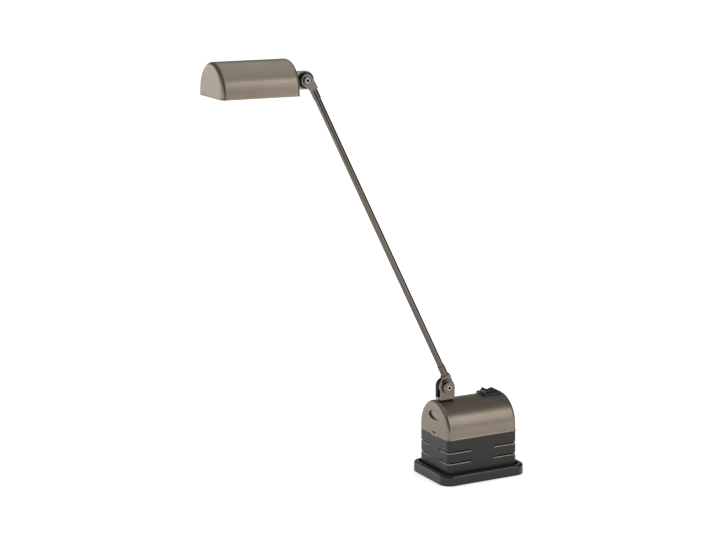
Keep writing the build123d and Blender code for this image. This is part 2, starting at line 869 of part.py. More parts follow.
def swivel_nut():
    body = slab(
        Pos(fork_x, 0) * RegularPolygon(swivel_nut_flats / 2, 6, major_radius=False),
        swivel_nut_top - swivel_nut_height,
        swivel_nut_top,
    )
    return body - upright(stem_radius + thread_gap, swivel_nut_top - swivel_nut_height, swivel_nut_top, fork_x)


# ---------------------------------------------------------------- lower joint, fork side
def fork_plate(bottom, front, back):
    """One cheek of the fork: straight sides and a round top about the pivot."""
    outline = Pos(0, (bottom + fork_pivot_rise) / 2) * Rectangle(2 * hub_radius, fork_pivot_rise - bottom)
    outline += Pos(0, fork_pivot_rise) * Circle(hub_radius)
    return plate_across(outline, front, back)


def to_fork(body):
    return Pos(fork_x, 0, fork_bottom) * body


def pivot_hole(front, back):
    return crosswise(screw_radius + pin_gap, front, back, 0, fork_pivot_rise)


def fork_bracket():
    body = fork_plate(0, fork_front, fork_front + ear_thickness)
    body = fillet(body.faces().sort_by(Axis.Y)[0].edges(), plate_edge)
    body += block((-hub_radius, fork_front + ear_thickness, 0), (hub_radius, cheek_back, fork_floor))
    body -= pivot_hole(fork_front, fork_front + ear_thickness)
    body -= upright(stem_radius + thread_gap, 0, fork_floor)
    return to_fork(body)


def fork_cheek():
    body = fork_plate(fork_floor, cheek_front, cheek_back)
    body = fillet(body.faces().sort_by(Axis.Y)[-1].edges(), plate_edge)
    body -= pivot_hole(cheek_front, cheek_back)
    return to_fork(body)


# ---------------------------------------------------------------- pivot hardware, axis along Y
def cap_disc(face, seat, radius):
    """A disc from y = face to y = seat that the head of the pivot screw is sunk into."""
    body = crosswise(radius, face, seat)
    rim = body.edges().filter_by(GeomType.CIRCLE).sort_by(Axis.Y)[0]
    body = fillet(rim, cap_edge)
    body -= crosswise(button_radius + fit_gap, face, face + button_height)
    return body - crosswise(screw_radius + pin_gap, face, seat)


def pivot_screw(face, end):
    """A screw with a flat round head at y = face and its tip at y = end."""
    seat = face + button_height
    head = crosswise(button_radius, face, seat)
    rim = head.edges().filter_by(GeomType.CIRCLE).sort_by(Axis.Y)[0]
    head = fillet(rim, button_edge)
    socket = RegularPolygon(hex_flats / 2, 6, major_radius=False)
    return head + crosswise(screw_radius, seat, end) - plate_across(socket, face, face + hex_depth)


def rear_washer(front):
    body = crosswise(washer_radius, front, front + washer_thickness)
    return body - crosswise(screw_radius + pin_gap, front, front + washer_thickness)


def pivot_nut(front):
    body = plate_across(RegularPolygon(nut_flats / 2, 6, major_radius=False), front, front + nut_height)
    return body - crosswise(screw_radius + thread_gap, front, front + nut_height)


def screw_end(back):
    """The tip of a pivot screw whose washer bears on y = back."""
    return back + washer_thickness + nut_height + screw_tail


def to_pivot(body):
    return Pos(fork_x, 0, pivot_z) * body


def lower_cap_disc():
    return to_pivot(cap_disc(fork_front - lower_cap_thickness, fork_front, lower_cap_radius))


def lower_pivot_screw():
    return to_pivot(pivot_screw(fork_front - lower_cap_thickness, screw_end(cheek_back)))


def lower_rear_washer():
    return to_pivot(rear_washer(cheek_back))


def lower_pivot_nut():
    return to_pivot(pivot_nut(cheek_back + washer_thickness))


# ---------------------------------------------------------------- arm, rod along Z, lower pivot at the origin
def knuckle_plate(radius, pivot_x, pivot_height, near, far, front, back):
    """A round eye about a pivot that runs out to the width of the shoulder."""
    eye = Pos(pivot_x, pivot_height) * Circle(radius)
    bar = Pos(rod_offset_low, (near + far) / 2) * Rectangle(2 * shoulder_half, abs(far - near))
    outline = make_hull(eye.edges() + bar.edges())
    return plate_across(outline, front, back)


def shoulder(bottom, top, front, back):
    low = (rod_offset_low - shoulder_half, front, bottom)
    return block(low, (rod_offset_low + shoulder_half, back, top))


def lower_knuckle():
    body = knuckle_plate(hub_radius, 0, 0, lower_shoulder, lower_shoulder_top, hub_front, hub_back)
    body += shoulder(lower_shoulder, lower_shoulder_top, hub_front, ferrule_radius)
    body -= crosswise(screw_radius + pin_gap, hub_front, hub_back)
    body -= upright(sleeve_radius + fit_gap, lower_shoulder + sleeve_recess, lower_shoulder_top, rod_offset_low)
    return arm_frame * body


def lower_insulator():
    body = crosswise(lower_insulator_radius, hub_back, lower_insulator_back)
    return arm_frame * (body - crosswise(screw_radius + pin_gap, hub_back, lower_insulator_back))


def ferrule(start, end, open_end):
    """A sleeve round the rod, with its edge rounded at the end that shows."""
    body = upright(ferrule_radius, min(start, end), max(start, end), rod_offset_low)
    rims = body.edges().filter_by(GeomType.CIRCLE).sort_by(Axis.Z)
    body = fillet(rims[open_end], ferrule_edge)
    return body - upright(rod_radius + pin_gap, min(start, end), max(start, end), rod_offset_low)


def lower_ferrule():
    return arm_frame * ferrule(lower_shoulder_top, lower_shoulder_top + lower_ferrule_length, -1)


def arm_tube():
    body = upright(rod_radius, lower_shoulder_top, upper_collar_far, rod_offset_low)
    return arm_frame * (body - upright(rod_bore_radius, lower_shoulder_top, upper_collar_far, rod_offset_low))


def conductor_sleeve():
    low = lower_shoulder + sleeve_recess
    high = upper_shoulder_far - sleeve_recess
    body = upright(sleeve_radius, low, high, rod_offset_low)
    return arm_frame * (body - upright(conductor_radius + thread_gap, low, high, rod_offset_low))


def conductor_rod():
    low = lower_shoulder + sleeve_recess
    high = upper_shoulder_far - sleeve_recess
    return arm_frame * upright(conductor_radius, low, high, rod_offset_low)


def upper_ferrule():
    return arm_frame * ferrule(upper_collar_far, upper_collar_far - upper_ferrule_length, 0)


def upper_knuckle():
    near = upper_shoulder_near
    far = upper_shoulder_far
    body = knuckle_plate(upper_ear_radius, upper_pivot_x, arm_length, near, far, upper_front, upper_ear_back)
    body = fillet(body.faces().sort_by(Axis.Y)[0].edges(), plate_edge)
    body += shoulder(far, near, upper_front, upper_insulator_back)
    body += upright(ferrule_radius, upper_collar_far, far, rod_offset_low)
    body -= crosswise(screw_radius + pin_gap, upper_front, upper_ear_back, upper_pivot_x, arm_length)
    body -= upright(sleeve_radius + fit_gap, upper_collar_far, far - sleeve_recess, rod_offset_low)
    return arm_frame * body


def to_upper(body):
    return arm_frame * Pos(upper_pivot_x, 0, arm_length) * body


def upper_insulator():
    body = crosswise(upper_insulator_radius, upper_ear_back, upper_insulator_back)
    return to_upper(body - crosswise(screw_radius + pin_gap, upper_ear_back, upper_insulator_back))


def upper_cap_disc():
    return to_upper(cap_disc(upper_front - upper_cap_thickness, upper_front, upper_cap_radius))


def upper_pivot_screw():
    return to_upper(pivot_screw(upper_front - upper_cap_thickness, screw_end(lug_back + running_gap)))


def upper_rear_washer():
    return to_upper(rear_washer(lug_back + running_gap))


def upper_pivot_nut():
    return to_upper(pivot_nut(lug_back + running_gap + washer_thickness))


# ---------------------------------------------------------------- shade, from the upper pivot to -X
def lug_screw_places():
    middle = (lug_front + lug_back) / 2
    return [(middle, side * lug_screw_spread / 2) for side in (-1, 1)]


def head_lug():
    outline = Pos(shade_end / 2, 0) * Rectangle(head_reach, 2 * lug_radius) + Circle(lug_radius)
    body = plate_across(outline, lug_front, lug_back)
    body -= crosswise(screw_radius + pin_gap, lug_front, lug_back)
    hole_end = shade_end + lug_screw_bite + hole_gap
    for y, z in lug_screw_places():
        body -= lengthwise(lug_screw_radius + thread_gap, shade_end, hole_end, y, z)
    return head_frame * body


def lug_screws():
    seat = shade_inner_end - bracket_thickness
    screws = []
    for y, z in lug_screw_places():
        head = lengthwise(lug_screw_head_radius, seat - lug_screw_head_height, seat, y, z)
        shank = lengthwise(lug_screw_radius, seat, shade_end + lug_screw_bite, y, z)
        face = seat - lug_screw_head_height
        slot_half = small_slot / 2
        slot = block(
            (face, y - lug_screw_head_radius, z - slot_half),
            (face + small_slot_depth, y + lug_screw_head_radius, z + slot_half),
        )
        screws.append(head_frame * (head + shank - slot))
    return gather(screws)


def head_shell():
    shell = barrel_shell(head_length, head_width, head_height, head_round, head_wall)
    rim = RectangleRounded(head_length + 2 * rim_proud, head_width + 2 * rim_proud, head_round + rim_proud)
    inner = RectangleRounded(
        head_length - 2 * head_wall, head_width - 2 * head_wall, head_round - head_wall
    )
    band = raised_band(rim, 0, rim_straight, rim_slope, rim_proud)
    shell += band - slab(inner, 0, rim_straight + rim_slope)
    body = Pos(shade_end - head_length / 2, 0, -head_drop) * shell
    for y, z in lug_screw_places():
        body -= lengthwise(lug_screw_radius + hole_gap, shade_inner_end, shade_end, y, z)
    return head_frame * body


def holder_bracket():
    half = bracket_width / 2
    wall = shade_inner_end
    low = (wall - bracket_thickness, -half, bracket_shelf)
    body = block(low, (wall, half, bracket_shelf + bracket_height))
    body += block((holder_face, -half, bracket_shelf), (wall, half, bracket_shelf + bracket_thickness))
    for y, z in lug_screw_places():
        body -= lengthwise(lug_screw_radius + hole_gap, wall - bracket_thickness, wall, y, z)
    return head_frame * body


def pin_places():
    return [(side * pin_spacing / 2, bulb_axis_z) for side in (-1, 1)]


def lamp_holder():
    bottom = bracket_shelf + bracket_thickness
    half = holder_width / 2
    body = block((holder_face, -half, bottom), (holder_back, half, bottom + holder_height))
    body = fillet(body.edges().filter_by(Axis.X), holder_edge)
    for y, z in pin_places():
        depth = bulb_pin_depth + hole_gap
        body -= lengthwise(bulb_pin_radius + pin_gap, holder_face, holder_face + depth, y, z)
    return head_frame * body


def bulb_pins():
    pins = [
        head_frame * lengthwise(bulb_pin_radius, pinch_end, holder_face + bulb_pin_depth, y, z)
        for y, z in pin_places()
    ]
    return gather(pins)


def capsule_form(radius, start, dome):
    """A round-ended tube along X, from x = start to the middle of its dome."""
    body = lengthwise(radius, dome, start, z=bulb_axis_z)
    return body + Pos(dome, 0, bulb_axis_z) * Sphere(radius)


def bulb_capsule():
    half = pinch_width / 2
    thick = pinch_thickness / 2
    pinch = block(
        (glass_start - glass_wall / 2, -half, bulb_axis_z - thick), (pinch_end, half, bulb_axis_z + thick)
    )
    pinch = fillet(pinch.edges().filter_by(Axis.X), thick / 2)
    body = capsule_form(glass_radius, glass_start, glass_dome) + pinch
    body -= capsule_form(glass_radius - glass_wall, glass_start - glass_wall, glass_dome)
    return head_frame * body


def bulb_filament():
    """The coil across the capsule and its two support wires."""
    floor = glass_start - glass_wall
    middle = (floor + glass_dome - glass_radius + glass_wall) / 2
    body = crosswise(coil_radius, -coil_length / 2, coil_length / 2, middle, bulb_axis_z)
    for side in (-1, 1):
        y = side * (coil_length / 2 - coil_lead_radius)
        body += lengthwise(coil_lead_radius, middle, floor, y, bulb_axis_z)
    return head_frame * body


def reflector_arch(radius):
    """The round of the reflector, drawn in Y and Z, closed along its base."""
    crown = ThreePointArc((radius, 0), (0, radius), (-radius, 0))
    return Pos(0, reflector_base) * make_face([crown, Line((-radius, 0), (radius, 0))])


def reflector():
    end = reflector_start - reflector_length
    outer = reflector_arch(reflector_radius + reflector_wall)
    inner = reflector_arch(reflector_radius)
    body = plate_along(outer, end, reflector_start)
    body -= plate_along(inner, end + reflector_wall, reflector_start - reflector_wall)
    port_start = reflector_start - reflector_wall - cut_over
    body -= lengthwise(reflector_port_radius, port_start, reflector_start + cut_over, z=bulb_axis_z)
    side_wall = head_width / 2 - head_wall - reflector_side_gap
    for side in (-1, 1):
        near = (end, side * reflector_radius, reflector_base)
        far = (reflector_start, side * side_wall, reflector_base + reflector_wall)
        body += block(*ordered(near, far))
    return head_frame * body


# ---------------------------------------------------------------- files
makers = [
    base_pad,
    base_tray,
    tray_screws,
    lower_case,
    upper_cover,
    badge_plate,
    ballast_plate,
    transformer_e_stack,
    transformer_i_stack,
    bobbin,
    primary_winding,
    secondary_winding,
    transformer_strap,
    strap_screws,
    terminal_block,
    terminal_screws,
    fuse_holder,
    fuse,
    cord_gland,
    switch_body,
    switch_terminals,
    mains_leads,
    secondary_leads,
    swivel_bush,
    swivel_collar,
    stop_pin,
    switch_rocker,
    swivel_stem,
    stop_washer,
    swivel_nut,
    fork_bracket,
    fork_cheek,
    lower_cap_disc,
    lower_pivot_screw,
    lower_rear_washer,
    lower_pivot_nut,
    lower_knuckle,
    lower_insulator,
    lower_ferrule,
    arm_tube,
    conductor_sleeve,
    conductor_rod,
    upper_ferrule,
    upper_knuckle,
    upper_insulator,
    upper_cap_disc,
    upper_pivot_screw,
    upper_rear_washer,
    upper_pivot_nut,
    head_lug,
    lug_screws,
    head_shell,
    holder_bracket,
    lamp_holder,
    bulb_pins,
    bulb_capsule,
    bulb_filament,
    reflector,
]

os.makedirs("parts", exist_ok=True)
for maker in makers:
    export_step(maker(), f"parts/{maker.__name__}.step")
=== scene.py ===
import math

import bpy
from mathutils import Matrix, Vector


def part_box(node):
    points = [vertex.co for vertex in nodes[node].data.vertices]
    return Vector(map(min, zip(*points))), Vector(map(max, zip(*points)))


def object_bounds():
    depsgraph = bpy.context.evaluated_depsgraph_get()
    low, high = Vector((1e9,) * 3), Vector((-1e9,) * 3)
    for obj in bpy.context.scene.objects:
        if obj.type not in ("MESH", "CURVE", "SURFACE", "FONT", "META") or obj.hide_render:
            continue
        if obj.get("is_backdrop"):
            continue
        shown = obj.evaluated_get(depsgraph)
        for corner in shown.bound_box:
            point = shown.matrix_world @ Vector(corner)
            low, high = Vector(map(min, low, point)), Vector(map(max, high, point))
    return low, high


# A low-voltage piano lamp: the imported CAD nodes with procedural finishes, on a plain white studio
# floor. Lengths are in metres.
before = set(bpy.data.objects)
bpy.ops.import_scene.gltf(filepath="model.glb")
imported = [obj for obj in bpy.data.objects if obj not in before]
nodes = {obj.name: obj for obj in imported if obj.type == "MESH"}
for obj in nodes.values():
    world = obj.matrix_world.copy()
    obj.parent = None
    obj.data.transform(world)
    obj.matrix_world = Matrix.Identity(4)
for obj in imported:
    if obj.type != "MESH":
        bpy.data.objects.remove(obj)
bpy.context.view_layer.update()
scene = bpy.context.scene

# ---------------------------------------------------------------- camera
# Fitted to the photograph. The focal length is in its pixels.
CAMERA_PLACE = Vector((-1.29441, -2.23065, 0.81193))
CAMERA_AZIMUTH = math.radians(-27.067)
CAMERA_ELEVATION = math.radians(11.994)
CAMERA_ROLL = math.radians(-0.691)
CAMERA_CLIP = (0.05, 60)
FOCAL_LENGTH = 2104.75
PHOTO_WIDTH = 716
SENSOR_WIDTH = 36.0


def add_camera():
    cos_e, sin_e = math.cos(CAMERA_ELEVATION), math.sin(CAMERA_ELEVATION)
    back = Vector((math.sin(CAMERA_AZIMUTH) * cos_e, -math.cos(CAMERA_AZIMUTH) * cos_e, sin_e))
    right = (-back).cross(Vector((0, 0, 1))).normalized()
    up = right.cross(-back)
    cos_r, sin_r = math.cos(CAMERA_ROLL), math.sin(CAMERA_ROLL)
    right, up = cos_r * right + sin_r * up, cos_r * up - sin_r * right
    data = bpy.data.cameras.new("camera")
    data.sensor_width = SENSOR_WIDTH
    data.lens = FOCAL_LENGTH / PHOTO_WIDTH * SENSOR_WIDTH
    data.clip_start, data.clip_end = CAMERA_CLIP
    camera = bpy.data.objects.new("camera", data)
    turn = Matrix((right, up, back)).transposed().to_4x4()
    camera.matrix_world = Matrix.Translation(CAMERA_PLACE) @ turn
    scene.collection.objects.link(camera)
    scene.camera = camera


add_camera()

# ---------------------------------------------------------------- node graphs
BROAD = (0.3, 0.7)  # nearly all of a noise lies in this range
TIGHT = (0.35, 0.65)  # a little less of it, for more contrast
FACE_TO_EDGE = (0.995, 0.85)  # dot product of true and rounded normal, from a face to an edge
BEVEL_SAMPLES = 6
WAVE_LENGTH = 0.314  # pitch of a Wave texture at scale 1


class Graph:
    """Short calls for building a node tree. All but add return an output socket."""

    def __init__(self, tree):
        self.tree = tree
        tree.nodes.clear()

    def add(self, kind, inputs=None, **settings):
        """A new node. Each input that is given gets a value, or a link if it is a socket."""
        n = self.tree.nodes.new(kind)
        for key, value in settings.items():
            setattr(n, key, value)
        for key, value in (inputs or {}).items():
            if isinstance(value, bpy.types.NodeSocket):
                self.tree.links.new(value, n.inputs[key])
            else:
                n.inputs[key].default_value = value
        return n

    def math(self, operation, a, b, clamp=False):
        n = self.add("ShaderNodeMath", {0: a, 1: b}, operation=operation, use_clamp=clamp)
        return n.outputs[0]

    def vector(self, operation, a, b=(0, 0, 0), output="Vector"):
        return self.add("ShaderNodeVectorMath", {0: a, 1: b}, operation=operation).outputs[output]

    def spread(self, value, source, target=(0.0, 1.0)):
        """value taken from the range source to the range target, and held at its ends."""
        inputs = {"Value": value, "From Min": source[0], "From Max": source[1]}
        inputs.update({"To Min": target[0], "To Max": target[1]})
        return self.add("ShaderNodeMapRange", inputs).outputs["Result"]

    def blend(self, share, a, b, kind="MIX"):
        """Colour a, with that share of colour b."""
        inputs = {0: share, 6: a, 7: b}
        return self.add("ShaderNodeMix", inputs, data_type="RGBA", blend_type=kind).outputs[2]

    def place(self, scale=(1, 1, 1), turn=(0, 0, 0), origin=(0, 0, 0)):
        """The piece's own coordinates from origin, turned and then stretched."""
        own = self.add("ShaderNodeTexCoord").outputs["Object"]
        moved = self.vector("SUBTRACT", own, origin)
        spun = self.add("ShaderNodeMapping", {"Rotation": turn, "Vector": moved}).outputs[0]
        return self.add("ShaderNodeMapping", {"Scale": scale, "Vector": spun}).outputs[0]

    def noise(self, scale, detail, roughness, place=None):
        """Noise from 0 to 1, with about scale lumps a metre."""
        inputs = {"Scale": scale, "Detail": detail, "Roughness": roughness}
        inputs["Vector"] = place or self.place()
        return self.add("ShaderNodeTexNoise", inputs).outputs["Fac"]

    def cells(self, scale, feature="F1", output="Distance"):
        """Voronoi cells, about scale of them a metre."""
        inputs = {"Scale": scale, "Vector": self.place()}
        return self.add("ShaderNodeTexVoronoi", inputs, feature=feature).outputs[output]

    def stripes(self, pitch, distortion, place=None, detail=1.0, detail_scale=1.0, **settings):
        """Bands or rings that lie pitch apart."""
        inputs = {"Scale": WAVE_LENGTH / pitch, "Distortion": distortion, "Detail": detail}
        inputs.update({"Detail Scale": detail_scale, "Vector": place or self.place()})
        return self.add("ShaderNodeTexWave", inputs, **settings).outputs["Fac"]

    def rounded(self, radius):
        """A normal that rounds sharp edges by that radius."""
        return self.add("ShaderNodeBevel", {"Radius": radius}, samples=BEVEL_SAMPLES).outputs[0]

    def worn_and_highlit(self, soft, patch_scale, patches=(0.35, 0.6)):
        """1 on patches of the edges that the normal soft rounds, 0 on the faces. The patches serve
        as wear, and with a strong tone as a painted highlight.
        """
        true = self.add("ShaderNodeNewGeometry").outputs["Normal"]
        edge = self.spread(self.vector("DOT_PRODUCT", soft, true, "Value"), FACE_TO_EDGE)
        worn = self.spread(self.noise(patch_scale, 4, 0.7), patches)
        return self.math("MULTIPLY", edge, worn)

    def bump(self, height, distance, strength, normal=None):
        inputs = {"Strength": strength, "Distance": distance, "Height": height}
        if normal:
            inputs["Normal"] = normal
        return self.add("ShaderNodeBump", inputs).outputs[0]


def tint(color, factor=1.0):
    """color made lighter or darker by factor, with the alpha that a colour socket wants."""
    return tuple(min(1.0, c * factor) for c in color) + (1.0,)


def grey(level):
    return (level, level, level, 1.0)


def new_material(name):
    material = bpy.data.materials.new(name)
    material.use_nodes = True
    return material, Graph(material.node_tree)


def finish_material(g, color, roughness, normal, metallic, **fixed):
    """The one shader of a material. What is in fixed is the same all over the surface."""
    inputs = {"Base Color": color, "Roughness": roughness, "Normal": normal, "Metallic": metallic}
    inputs.update({key.replace("_", " "): value for key, value in fixed.items()})
    shader = g.add("ShaderNodeBsdfPrincipled", inputs)
    g.add("ShaderNodeOutputMaterial", {"Surface": shader.outputs[0]})


def dress(material, *names):
    """Gives the CAD nodes with these names that material."""
    for name in names:
        slots = nodes[name].data.materials
        slots.clear()
        slots.append(material)


# ---------------------------------------------------------------- metals
METAL_ROUNDING = 0.0004
TURNED_ROUNDING = 0.0003
LINE_STRETCH = 0.03  # scale of brushed lines along their length, where it is 1 across them
SOCKET_FADE = 1e-4
SOCKET_PAINTED_SHADE = grey(0.006)


def satin_metal(name, color, grain_scale, grain_depth, roughness, wear=1.3, flake=0.10):
    """Blasted and anodised sheet metal: fine even grain, faint clouds, lighter rubbed edges."""
    material, g = new_material(name)
    clouds = g.noise(28, 2, 0.5)
    blotch = g.noise(170, 3, 0.55)
    grain = g.noise(grain_scale, 2, 0.6)
    flakes = g.cells(grain_scale * 0.8, output="Color")
    tone = g.blend(g.spread(clouds, TIGHT), tint(color, 0.98), tint(color, 1.02))
    tone = g.blend(g.spread(blotch, BROAD, (0, 0.35)), tone, tint(color, 0.96))
    tone = g.blend(flake, tone, flakes, "OVERLAY")
    soft = g.rounded(METAL_ROUNDING)
    edge = g.worn_and_highlit(soft, 600)
    tone = g.blend(g.math("MULTIPLY", edge, 0.3), tone, tint(color, wear))
    rough = g.spread(g.noise(75, 3, 0.6), BROAD, (roughness - 0.015, roughness + 0.015))
    rough = g.math("ADD", rough, g.spread(grain, BROAD, (-0.03, 0.03)), clamp=True)
    finish_material(g, tone, rough, g.bump(grain, grain_depth, 0.6, soft), metallic=0.92)
    return material


def brushed_metal(name, color, roughness, turn=(0, 0, 0), along=2, lines=2600):
    """Plated metal with fine lines along one axis, to which turn brings the piece's own line."""
    material, g = new_material(name)
    stretch = [1.0, 1.0, 1.0]
    stretch[along] = LINE_STRETCH
    line_place = g.place(scale=stretch, turn=turn)
    line = g.noise(lines, 2, 0.65, line_place)
    wide = g.noise(lines * 0.12, 2, 0.5, line_place)
    clouds = g.noise(40, 2, 0.5)
    tone = g.blend(g.spread(line, BROAD), tint(color, 0.86), tint(color, 1.12))
    tone = g.blend(g.spread(wide, BROAD, (0, 0.4)), tone, tint(color, 0.8))
    tone = g.blend(g.spread(clouds, TIGHT, (0, 0.3)), tone, tint(color, 1.15))
    soft = g.rounded(METAL_ROUNDING)
    edge = g.worn_and_highlit(soft, 900)
    tone = g.blend(g.math("MULTIPLY", edge, 0.25), tone, tint(color, 1.3))
    rough = g.spread(line, (0.25, 0.75), (roughness - 0.03, roughness + 0.04))
    patches = g.spread(g.noise(110, 3, 0.6), BROAD, (-0.02, 0.02))
    rough = g.math("ADD", rough, patches, clamp=True)
    finish_material(g, tone, rough, g.bump(line, 4e-6, 0.7, soft), metallic=1.0)
    return material


def turned_metal(name, color, roughness, origin, pitch=0.00035, socket=0.0):
    """A turned face: fine rings about a line along Y through origin.

    socket is the radius of its key socket, whose inside is painted black: painted shade in the
    recess.
    """
    material, g = new_material(name)
    place = g.place(origin=origin)
    rings = g.stripes(pitch, 0.6, place, detail=2.0, wave_type="RINGS", rings_direction="Y")
    clouds = g.noise(120, 2, 0.5)
    tone = g.blend(g.spread(rings, (0, 1)), tint(color, 0.88), tint(color, 1.1))
    tone = g.blend(g.spread(clouds, BROAD, (0, 0.4)), tone, tint(color, 0.82))
    soft = g.rounded(TURNED_ROUNDING)
    edge = g.worn_and_highlit(soft, 1100)
    tone = g.blend(g.math("MULTIPLY", edge, 0.8), tone, tint(color, 1.45))
    # painted shade: the inside of the key socket is painted black
    if socket:
        radius = g.vector("LENGTH", g.vector("MULTIPLY", place, (1, 0, 1)), output="Value")
        inside = g.spread(radius, (socket + SOCKET_FADE, socket - SOCKET_FADE))
        tone = g.blend(inside, tone, SOCKET_PAINTED_SHADE)
    rough = g.spread(clouds, BROAD, (roughness - 0.05, roughness + 0.07))
    finish_material(g, tone, rough, g.bump(rings, 5e-6, 0.6, soft), metallic=1.0)
    return material


# ---------------------------------------------------------------- plastics and rubber
MOULDED_ROUNDING = 0.0005
PAINTED_HIGHLIGHT_SLOPE = (0.1, 0.3)  # upward part of a normal, from where the painted highlight on upward faces begins to where it is full


def moulded(
    name,
    color,
    roughness,
    grain_scale,
    grain_depth,
    edge_wear_and_highlight=1.8,
    edge_reach=MOULDED_ROUNDING,
    painted_sill_highlight=None,
    cells=False,
    mottle=0.25,
    **fixed,
):
    """Moulded plastic or rubber: spark-eroded grain, uneven gloss, edges lighter from wear and
    painted highlight.

    The edge tone times color is the tone of the edge patches, which reach edge_reach from a corner;
    a tone near 1 is wear, and a tone far above 1 is a painted highlight. A given upward colour is a
    painted highlight on faces that slope upwards, as if lit from above. cells gives a pebbled
    grain, not a fine one.
    """
    material, g = new_material(name)
    clouds = g.noise(32, 2, 0.5)
    fine = g.noise(grain_scale, 3, 0.6)
    grain = g.cells(grain_scale, feature="SMOOTH_F1") if cells else fine
    darker, lighter = tint(color, 1 - mottle / 2), tint(color, 1 + mottle / 2)
    tone = g.blend(g.spread(clouds, TIGHT), darker, lighter)
    tone = g.blend(g.spread(fine, TIGHT, (0, 0.3)), tone, tint(color, 1 + mottle))
    soft = g.rounded(MOULDED_ROUNDING)
    edge = g.worn_and_highlit(g.rounded(edge_reach), 450, patches=(0.25, 0.62))
    tone = g.blend(g.math("MULTIPLY", edge, 0.5), tone, tint(color, edge_wear_and_highlight))
    # painted highlight: faces that slope upwards get a lighter colour, as if lit from above
    if painted_sill_highlight:
        normal = g.add("ShaderNodeNewGeometry").outputs["Normal"]
        upward = g.add("ShaderNodeSeparateXYZ", {"Vector": normal}).outputs["Z"]
        tone = g.blend(g.spread(upward, PAINTED_HIGHLIGHT_SLOPE), tone, tint(painted_sill_highlight))
    rough = g.spread(g.noise(85, 4, 0.6), BROAD, (roughness - 0.06, roughness + 0.06))
    rough = g.math("ADD", rough, g.spread(fine, BROAD, (-0.03, 0.03)))
    rough = g.math("SUBTRACT", rough, g.math("MULTIPLY", edge, 0.12), clamp=True)
    finish_material(g, tone, rough, g.bump(grain, grain_depth, 0.7, soft), metallic=0.0, **fixed)
    return material


# ---------------------------------------------------------------- inner parts
SHEET_THICKNESS = 0.0005
WIRE_PITCH = 0.0005
ZINC = (0.45, 0.45, 0.45)


def laminated(name):
    """Varnished transformer sheets, stacked along Y."""
    material, g = new_material(name)
    sheets = g.stripes(SHEET_THICKNESS, 0.4, wave_type="BANDS", bands_direction="Y")
    rust = g.noise(300, 4, 0.6)
    tone = g.blend(g.spread(sheets, (0.2, 0.8)), (0.035, 0.034, 0.036, 1), (0.13, 0.13, 0.135, 1))
    tone = g.blend(g.spread(rust, (0.55, 0.75), (0, 0.5)), tone, (0.16, 0.09, 0.05, 1))
    rough = g.spread(rust, BROAD, (0.35, 0.6))
    finish_material(g, tone, rough, g.bump(sheets, 1.2e-4, 0.8), metallic=0.6)
    return material


def wound(name):
    """Enamelled wire, its turns laid one above the other."""
    material, g = new_material(name)
    turns = g.stripes(WIRE_PITCH, 0.5, detail_scale=0.5, wave_type="BANDS", bands_direction="Z")
    shade = g.noise(200, 3, 0.6)
    tone = g.blend(g.spread(turns, (0.1, 0.9)), (0.16, 0.05, 0.02, 1), (0.62, 0.26, 0.12, 1))
    tone = g.blend(g.spread(shade, TIGHT, (0, 0.4)), tone, (0.5, 0.18, 0.07, 1))
    rough = g.spread(shade, BROAD, (0.2, 0.35))
    finish_material(g, tone, rough, g.bump(turns, 2e-4, 0.9), metallic=0.85, Coat_Weight=0.4)
    return material


def galvanised(name):
    """Zinc-coated strip with faint spangle."""
    material, g = new_material(name)
    spangle = g.cells(260, output="Color")
    fine = g.noise(1800, 3, 0.6)
    tone = g.blend(0.16, tint(ZINC), spangle, "OVERLAY")
    tone = g.blend(g.spread(fine, BROAD, (0, 0.3)), tone, tint(ZINC, 0.8))
    rough = g.spread(g.noise(180, 3, 0.6), BROAD, (0.32, 0.48))
    finish_material(g, tone, rough, g.bump(fine, 6e-6, 0.6), metallic=1.0)
    return material


def stippled(name):
    """Bright reflector sheet with a hammered stipple."""
    material, g = new_material(name)
    dimple = g.cells(900, feature="SMOOTH_F1")
    haze = g.noise(120, 3, 0.6)
    tone = g.blend(g.spread(haze, BROAD), (0.80, 0.80, 0.79, 1), (0.90, 0.90, 0.885, 1))
    rough = g.spread(haze, BROAD, (0.14, 0.24))
    finish_material(g, tone, rough, g.bump(dimple, 9e-5, 0.6), metallic=1.0)
    return material


def quartz(name):
    """Clear tube with faint streaks drawn along X."""
    material, g = new_material(name)
    streak = g.noise(500, 2, 0.5, g.place(scale=(0.2, 1, 1)))
    tone = g.blend(g.spread(streak, BROAD), (0.97, 0.98, 0.98, 1), (1, 1, 1, 1))
    rough = g.spread(streak, BROAD, (0.01, 0.04))
    bump = g.bump(streak, 1.5e-5, 0.4)
    finish_material(g, tone, rough, bump, metallic=0.0, Transmission_Weight=1.0, IOR=1.46)
    return material


# ---------------------------------------------------------------- finish of each node
BRONZE = (0.260, 0.221, 0.178)
DARK_BRONZE = (0.170, 0.147, 0.127)
ARM_BRONZE = (0.138, 0.121, 0.104)
SCREW = (0.37, 0.355, 0.34)
ARM_TURN = (0, math.radians(25.5), 0)  # brings the arm's line to Z

